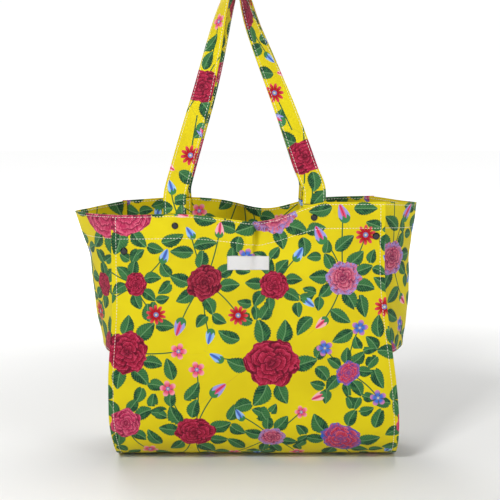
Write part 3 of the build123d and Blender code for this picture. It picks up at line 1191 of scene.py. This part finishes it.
class TOTE_OT_panels(bpy.types.Operator):
    """Makes the front and back panels, with their seam ridges, linings and faced hems."""

    bl_idname = "tote.panels"
    bl_label = "Front and back panels"

    def execute(self, context):
        for side, name in ((FRONT, "front"), (BACK, "back")):
            surface, direction = partial(panel_surface, side), (0, side, 0)
            layers = wall_layers(panel_cloth(side))
            for part, layer in zip(("panel", "lining", "rim_facing"), layers):
                piece, rise, slot = wall(
                    f"{name}_{part}_cloth", surface, PANEL_ACROSS, direction, layer
                )
                ridges = self.ridges(side, name) if part == "panel" else []
                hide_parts(f"{name}_{part}")
                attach(piece, f"bag_{name}")
        return {"FINISHED"}

    def ridges(self, side, name):
        """The second layer of the pinched seams down a panel's two upright edges."""
        share, fold, thickness = 0.0052 / 0.155, 0.0010, 0.0012
        pieces = []
        for hand, edge in (("left", -1.0), ("right", 1.0)):
            inner = edge * (1 - share)
            v, across = np.meshgrid(np.linspace(0, 1, 60), np.linspace(0, 1, 4), indexing="ij")
            points = panel_surface(side, inner + (edge - inner) * across, v)
            points[..., 1] -= side * fold
            flat = panel_cloth(side)(points)
            cloth = bpy.data.materials["Printed cloth"]
            piece = cloth_sheet(f"{name}_{hand}_ridge", points, flat, cloth, thickness, (0, side, 0))
            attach(piece, f"bag_{name}")
            pieces.append(piece)
        return pieces


class TOTE_OT_gussets(bpy.types.Operator):
    """Makes the two creased gussets, with their linings and faced hems."""

    bl_idname = "tote.gussets"
    bl_label = "Gussets"

    def execute(self, context):
        for side, name in ((LEFT, "left"), (RIGHT, "right")):
            surface, direction = partial(gusset_surface, side), (side, 0, 0)
            layers = wall_layers(gusset_cloth(side))
            for part, layer in zip(("", "_lining", "_facing"), layers):
                piece, rise, slot = wall(
                    f"{name}_gusset{part}_cloth", surface, GUSSET_ACROSS, direction, layer
                )
                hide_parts(f"{name}_gusset_rear{part}", f"{name}_gusset_front{part}")
                bend_at_crease(piece)
        return {"FINISHED"}


def bend_at_crease(piece):
    """Bakes a gusset piece's placement into its own mesh."""
    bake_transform(piece)


def squash_back(piece):
    """Hangs a piece on the back panel's body and gives it a mesh of its own."""
    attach(piece, "bag_back")
    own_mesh(piece)


class TOTE_OT_sling(bpy.types.Operator):
    """Makes the sling that carries the mat, its lining and the bag's floor."""

    bl_idname = "tote.sling"
    bl_label = "Mat sling and floor"

    def execute(self, context):
        length = float(sling_profile(np.array([1.0]))[2][0])
        u, v = parameter_grid(PANEL_ACROSS[0], length)
        outer, inner = sizes().cloth_thickness, LINING_THICKNESS
        # Depth, share left off at both edges, thickness, material, slot, and the print's offset
        layers = {
            "mat_sling": (0.0, 0.0, outer, "Printed cloth", "printed_cloth", (0, 0)),
            "sling_lining": (LINING_DEPTH, 0.007, inner, "Printed lining", "lining_cloth", (0.08, 0.12)),
        }
        for node, (depth, short, thickness, look, slot, cut) in layers.items():
            points, run = sling_surface(u, short + (1 - 2 * short) * v)
            cloth = np.stack([points[..., 0], PANEL_FOOT - run], axis=-1) + cut
            moved = inward(points, (0, 0, -1), depth)
            moved[..., 2] = np.maximum(moved[..., 2], SLING_LOW[2])
            material = bpy.data.materials[look]
            piece = cloth_sheet(f"{node}_cloth", moved, cloth, material, thickness, (0, 0, -1))
            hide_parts(node)
            squash_back(piece)
        self.floor()
        return {"FINISHED"}

    def floor(self):
        """The floor: as wide as the gussets bulge at its middle, sagging a little."""
        margin, below, sag, thickness = 0.0025, 0.0004, 0.0035, 0.0006
        u, v = parameter_grid(0.34, 0.124)
        half = np.linspace(0, 1, u.shape[0])[:, None]
        reach_left = -gusset_surface(LEFT, half, np.zeros_like(half))[..., 0]
        reach_right = gusset_surface(RIGHT, half, np.zeros_like(half))[..., 0]
        x = (-reach_left * (1 - u) + reach_right * (1 + u)) / 2 * 0.995
        y = (2 * v - 1) * (HALF_DEPTH - margin)
        z = PANEL_FOOT - below - sag * (1 - u**2) * (1 - (2 * v - 1) ** 2)
        points = np.stack([x, y, z], axis=-1)
        flat = np.stack([x, y + 0.1], axis=-1)
        lining = bpy.data.materials["Printed lining"]
        piece = cloth_sheet("inner_floor_cloth", points, flat, lining, thickness, (0, 0, 1))
        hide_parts("inner_floor")
        squash_back(piece)


def along_curve(values, count):
    """A smooth curve through the rows of values, by a cubic through each four neighbours."""
    values = np.array(values, float)
    padded = np.vstack([2 * values[0] - values[1], values, 2 * values[-1] - values[-2]])
    place = np.linspace(0, len(values) - 1 - 1e-9, count)
    i, t = place.astype(int), (place % 1)[:, None]
    a, b, c, d = (padded[i + k] for k in range(4))
    squared, cubed = 2 * a - 5 * b + 4 * c - d, 3 * b - a - 3 * c + d
    return 0.5 * (2 * b + (c - a) * t + squared * t**2 + cubed * t**3)


def even_rows(rows, count):
    """The same curve with its rows at equal steps of all three of their numbers together."""
    gaps = np.linalg.norm(np.diff(rows, axis=0), axis=1)
    distance = np.concatenate([[0], np.cumsum(gaps)])
    wanted = np.linspace(0, distance[-1], count)
    return np.stack([np.interp(wanted, distance, column) for column in rows.T], axis=1)


def strap_profile():
    """A strap's section: a flat band with slightly pinched edges, counted round in turn."""
    half, thick = sizes().strap_width / 2, sizes().strap_thickness / 2
    across = np.array([1.0, 0.96, 0.88, 0.8, 0.0, -0.8, -0.88, -0.96, -1.0])
    high = np.array([0.35, 0.85, 0.86, 1.0, 1.1, 1.0, 0.86, 0.85, 0.35])
    x = np.concatenate([across, across[::-1]]) * half
    y = np.concatenate([high, -high[::-1]]) * thick
    return x, y


def strap_mesh(name, middles, widths, normals, lengths, offset):
    """A strap carried along its centre line, closed at both ends."""
    x, y = strap_profile()
    points = middles[:, None, :] + widths[:, None, :] * x[None, :, None]
    points = points + normals[:, None, :] * y[None, :, None]
    rings, count = points.shape[:2]
    faces = tube_faces(rings, count)[:, ::-1]
    caps = np.array([(i, i + 1, count - 2 - i, count - 1 - i) for i in range(count // 2 - 1)])
    last = caps[:, ::-1] + (rings - 1) * count
    faces = np.concatenate([faces, caps, last])
    layer = np.where(y > 0, 0.0, 0.13)[None, :] + offset[0]
    flat = np.stack(np.broadcast_arrays(x[None, :] + layer, lengths[:, None] + offset[1]), axis=-1)
    return cloth_piece(name, points, flat, bpy.data.materials["Printed strap"], faces)


def handle_frames(side):
    """A handle's centre line with its width and outward directions, and its run of cloth.

    The line lies in a plane that leans inwards from the rim. The strap's width starts
    along the rim and turns about the line until it is square to that plane at the top.
    """
    lean = math.radians(9.2)
    rise = np.array([0, -side * math.sin(lean), math.cos(lean)])
    normal = np.array([0, side * math.cos(lean), math.sin(lean)])
    level, low_slope, low_rise = 0.288, 0.045, 21
    ends = [(x / MM, (rim_line(side, x) - level) / MM - 0.5, 0) for x in ROOTS_X]
    low = [(x / MM, low_slope * x / MM + low_rise, 0) for x in ROOTS_X]
    stations = np.array([ends[0], low[0], *HANDLE_LINE, low[1], ends[1]], float)
    if side == BACK:
        stations[:, 0] += 6.0 * np.clip(stations[:, 1] / APEX_RISE, 0, None) ** 2
    rows = even_rows(along_curve(stations, 1200), 240)
    x, up, turn = rows[:, 0] * MM, rows[:, 1] * MM, np.radians(np.clip(rows[:, 2], 0, 90))
    base = np.array([0, side * STRAP_MIDDLE, level])
    middles = base + x[:, None] * np.array([1.0, 0, 0]) + up[:, None] * rise
    tangent = np.gradient(middles, axis=0)
    tangent = tangent / np.linalg.norm(tangent, axis=1, keepdims=True)
    across = np.cross(tangent, normal) * -side
    widths = across * np.cos(turn)[:, None] + normal * np.sin(turn)[:, None]
    out = np.cross(tangent, widths) * side
    run = np.concatenate([[0], np.cumsum(np.linalg.norm(np.diff(middles, axis=0), axis=1))])
    return middles, widths, out, run


def edge_rows(middles, widths, normals, inset):
    """Stitch rows near both edges of a strap, on both of its faces."""
    half, thick = sizes().strap_width / 2, sizes().strap_thickness / 2
    rows = []
    for edge in (-1, 1):
        for face in (-1, 1):
            line = middles + widths * edge * (half - inset) + normals * face * thick * 0.9
            rows.append((line, normals * face))
    return rows


def bend_at_root(piece):
    """Bakes a strap piece's placement into its own mesh."""
    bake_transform(piece)


class TOTE_OT_handles(bpy.types.Operator):
    """Makes the two handles, their sewn-in ends and their stitching."""

    bl_idname = "tote.handles"
    bl_label = "Handles"

    def execute(self, context):
        thread = bpy.data.materials["Sewing thread"]
        for side, name in ((FRONT, "front"), (BACK, "back")):
            frames = handle_frames(side)
            piece = strap_mesh(f"{name}_handle_strap", *frames, STRAP_PRINT[side])
            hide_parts(f"{name}_handle", f"{name}_handle_backing", f"{name}_handle_roots")
            bend_at_root(piece)
            sewn = stitches(f"{name}_handle_stitching", edge_rows(*frames[:3], STRAP_ROW), thread)
            bend_at_root(sewn)
            self.tabs(side, name, thread)
        return {"FINISHED"}

    def tabs(self, side, name, thread):
        """The strap ends inside the hem, each with a sewn box round its rivet."""
        below_rim, height, inner = 0.0008, 0.026, side * (STRAP_MIDDLE - 0.0013)
        cut_x, cut_z = STRAP_PRINT[side]
        rows = []
        for hand, x in zip(("left", "right"), ROOTS_X):
            top = rim_line(side, x) - below_rim
            z = np.linspace(top - height, top, 14)
            plane = np.full_like(z, side * STRAP_MIDDLE)
            middles = np.stack([np.full_like(z, x), plane, z], axis=1)
            widths = np.tile([1.0, 0, 0], (len(z), 1))
            normals = np.tile([0, float(side), 0], (len(z), 1))
            piece = strap_mesh(
                f"{name}_{hand}_tab", middles, widths, normals, z - z[0], (cut_x, cut_z - TAB_CUT)
            )
            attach(piece, f"bag_{name}")
            rows += edge_rows(middles, widths, normals, STRAP_ROW)[::2]
            box_x = np.linspace(x - STRAP_HALF + STRAP_ROW, x + STRAP_HALF - STRAP_ROW, 12)
            for box_z in (z[0] + 0.002, z[-1] - 0.003):
                line = np.stack([box_x, np.full(12, inner), np.full(12, box_z)], axis=1)
                rows.append((line, np.tile([0, float(-side), 0], (12, 1))))
        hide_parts(f"{name}_handle_tabs")
        sewn = stitches(f"{name}_tab_stitching", rows, thread)
        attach(sewn, f"bag_{name}")


class TOTE_OT_stitching(bpy.types.Operator):
    """Sews the rims, hems, ridges and edges of the panels, gussets and sling."""

    bl_idname = "tote.stitching"
    bl_label = "Top-stitching"

    def execute(self, context):
        thread = bpy.data.materials["Sewing thread"]
        over_hem, panel_foot_row, gusset_foot_row = hem_line() + OVER_HEM, 0.012, 0.014
        u, v = np.linspace(-0.995, 0.995, 400), np.linspace(0.0, 0.985, 200)
        for side, name in ((FRONT, "front"), (BACK, "back")):
            surface, direction = partial(panel_surface, side), (0, side, 0)
            rows = []
            for across, height in ((u, RIM_ROW), (u * 0.965, over_hem)):
                line = np.full_like(u, height)
                rows += both_faces(surface, across, line, direction, THROUGH_WALL)
            for edge in (-EDGE_ROW, EDGE_ROW):
                rows += both_faces(surface, np.full_like(v, edge), v, direction, THROUGH_RIDGE)
            if side == BACK:
                rows += [row_on(surface, u, np.full_like(u, panel_foot_row), direction)]
            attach(stitches(f"{name}_panel_stitching", rows, thread), f"bag_{name}")
        s = np.linspace(0.01, 0.99, 200)
        for side, name in ((LEFT, "left"), (RIGHT, "right")):
            surface, direction = partial(gusset_surface, side), (side, 0, 0)
            rows = []
            for height in (RIM_ROW, over_hem):
                rows += both_faces(surface, s, np.full_like(s, height), direction, THROUGH_WALL)
            rows += [row_on(surface, s, np.full_like(s, gusset_foot_row), direction)]
            bend_at_crease(stitches(f"{name}_gusset_stitching", rows, thread))

        def sling(u, v):
            return sling_surface(u, v)[0]

        run = np.clip(np.linspace(0.0, 1.0, 500), 0.001, 0.999)
        rows = []
        for edge in (-EDGE_ROW, EDGE_ROW):
            rows += both_faces(sling, np.full_like(run, edge), run, (0, 0, -1), THROUGH_WALL)
        squash_back(stitches("sling_stitching", rows, thread))
        return {"FINISHED"}


class TOTE_OT_label(bpy.types.Operator):
    """Makes the plain woven label, which lies over the tuck, sewn at both ends."""

    bl_idname = "tote.label"
    bl_label = "Plain label"

    def execute(self, context):
        low, high = LABEL_LOW, LABEL_HIGH
        bow, off_cloth, tautness = 0.0008, 0.0007, 0.65
        a, b = np.meshgrid(np.linspace(0, 1, 41), np.linspace(0, 1, 15))
        x = low[0] + (high[0] - low[0]) * a
        z = low[2] + (high[2] - low[2]) * b + bow * np.sin(np.pi * a)
        share = (z - PANEL_FOOT) / (rim_line(FRONT, x) - PANEL_FOOT)
        edges = left_edge(z), right_edge(z)
        u = (2 * x - edges[0] - edges[1]) / (edges[1] - edges[0])
        on_cloth = panel_surface(FRONT, u, share)[..., 1]
        bridge = np.linspace(on_cloth[:, 0], on_cloth[:, -1], a.shape[1], axis=1)
        taut = on_cloth * (1 - tautness) + bridge * tautness
        y = np.minimum(taut, on_cloth) - off_cloth
        points = np.stack([x, y, z], axis=-1)
        faces = faces_towards(points, (0, -1, 0))
        piece = build("plain_label", points.reshape(-1, 3), faces, bpy.data.materials["Label tape"])
        thicken(piece, 0.0006)
        bevel = piece.modifiers.new("Soft edge", "BEVEL")
        bevel.width = 0.0002
        bevel.segments = 2
        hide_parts("blank_label")
        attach(piece, "bag_front")
        rows = []
        for column in (2, -3):
            line = points[1:-1, column]
            rows.append((line, np.tile([0.0, -1.0, 0.0], (len(line), 1))))
        sewn = stitches("label_stitching", rows, bpy.data.materials["Sewing thread"])
        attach(sewn, "bag_front")
        return {"FINISHED"}


class TOTE_OT_fasteners(bpy.types.Operator):
    """Gives the rivets and snaps their enamel and plating."""

    bl_idname = "tote.fasteners"
    bl_label = "Rivets and snaps"

    def execute(self, context):
        enamel = ["front_rivets", "back_rivets", "front_snap_caps", "back_snap_caps"]
        enamel += ["front_snap_studs", "back_snap_sockets"]
        plated = ["front_rivet_burrs", "back_rivet_burrs"]
        for names, material in ((enamel, "Black enamel"), (plated, "Dull nickel")):
            for name in names:
                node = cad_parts[name]
                node.data.materials.clear()
                node.data.materials.append(bpy.data.materials[material])
        return {"FINISHED"}


class TOTE_OT_stage(bpy.types.Operator):
    """Makes the floor, the studio lights and the camera."""

    bl_idname = "tote.stage"
    bl_label = "Stage"

    def execute(self, context):
        ground = np.array([(-6, -4, 0), (6, -4, 0), (6, 6, 0), (-6, 6, 0)], float)
        floor = build("floor", ground, np.array([[0, 1, 2, 3]]), bpy.data.materials["Studio floor"])
        lights = {
            "key": ((-1.0, -1.8, 1.8), 0.5, 34.0),
            "front": ((1.5, -1.8, 1.0), 0.8, 12.0),
            "top": ((0.1, 0.4, 2.3), 1.2, 22.0),
            "back": ((-0.9, 2.1, 1.5), 1.0, 15.0),
        }
        for name, (place, size, power) in lights.items():
            lamp = bpy.data.lights.new(name, "AREA")
            lamp.size = size
            lamp.energy = power
            made = bpy.data.objects.new(name, lamp)
            made.location = place
            aim = bpy.data.objects.new(f"{name}_aim", None)
            aim.location = (0, 0, 0.22)
            track = made.constraints.new("TRACK_TO")
            track.target = aim
            context.collection.objects.link(made)
            context.collection.objects.link(aim)
        world = bpy.data.worlds.new("Studio")
        world.use_nodes = True
        w = Weaver(world.node_tree)
        backdrop = world.node_tree.nodes["Background"].inputs
        backdrop[0].default_value = colour(1.0, 1.0, 1.0)
        # Soft light from all round, and a brighter white where the camera sees the backdrop
        seen = w.node("ShaderNodeLightPath").outputs["Is Camera Ray"]
        w.put(backdrop[1], w.times_plus(seen, 0.82, 0.20))
        context.scene.world = world
        context.scene.view_settings.view_transform = "Standard"
        self.camera(context)
        return {"FINISHED"}

    def camera(self, context):
        """A long lens a little above the bag's middle, square on to its front."""
        distance, aim, tilt = 1.4, 0.236, math.radians(8)
        sensor, view_width = 36, 0.574
        camera = bpy.data.objects.new("camera", bpy.data.cameras.new("camera"))
        camera.data.sensor_width = sensor
        camera.data.lens = sensor * distance / view_width
        camera.location = (0, -distance * math.cos(tilt), aim + distance * math.sin(tilt))
        camera.rotation_euler = (math.pi / 2 - tilt, 0, 0)
        context.collection.objects.link(camera)
        context.scene.camera = camera


STEPS = [
    TOTE_OT_materials,
    TOTE_OT_stage,
    TOTE_OT_panels,
    TOTE_OT_gussets,
    TOTE_OT_sling,
    TOTE_OT_handles,
    TOTE_OT_stitching,
    TOTE_OT_label,
    TOTE_OT_fasteners,
]


class TOTE_PT_panel(bpy.types.Panel):
    """Lists the steps, the sizes and the colours."""

    bl_idname = "TOTE_PT_panel"
    bl_label = "Tote bag"
    bl_space_type = "VIEW_3D"
    bl_region_type = "UI"
    bl_category = "Tote bag"

    def draw(self, context):
        for step in STEPS:
            self.layout.operator(step.bl_idname)
        for group in (context.scene.tote_sizes, context.scene.tote_colours):
            for name in group.__annotations__:
                self.layout.prop(group, name)


CLASSES = [ToteSizes, ToteColours, *STEPS, TOTE_PT_panel]


def register():
    """Registers the classes and hangs the settings on the scene."""
    for cls in CLASSES:
        bpy.utils.register_class(cls)
    bpy.types.Scene.tote_sizes = bpy.props.PointerProperty(type=ToteSizes)
    bpy.types.Scene.tote_colours = bpy.props.PointerProperty(type=ToteColours)


def unregister():
    """Takes the settings and the classes away again."""
    del bpy.types.Scene.tote_colours
    del bpy.types.Scene.tote_sizes
    for cls in reversed(CLASSES):
        bpy.utils.unregister_class(cls)


def main():
    register()
    for step in STEPS:
        group, name = step.bl_idname.split(".")
        getattr(getattr(bpy.ops, group), name)()


if __name__ == "__main__":
    main()
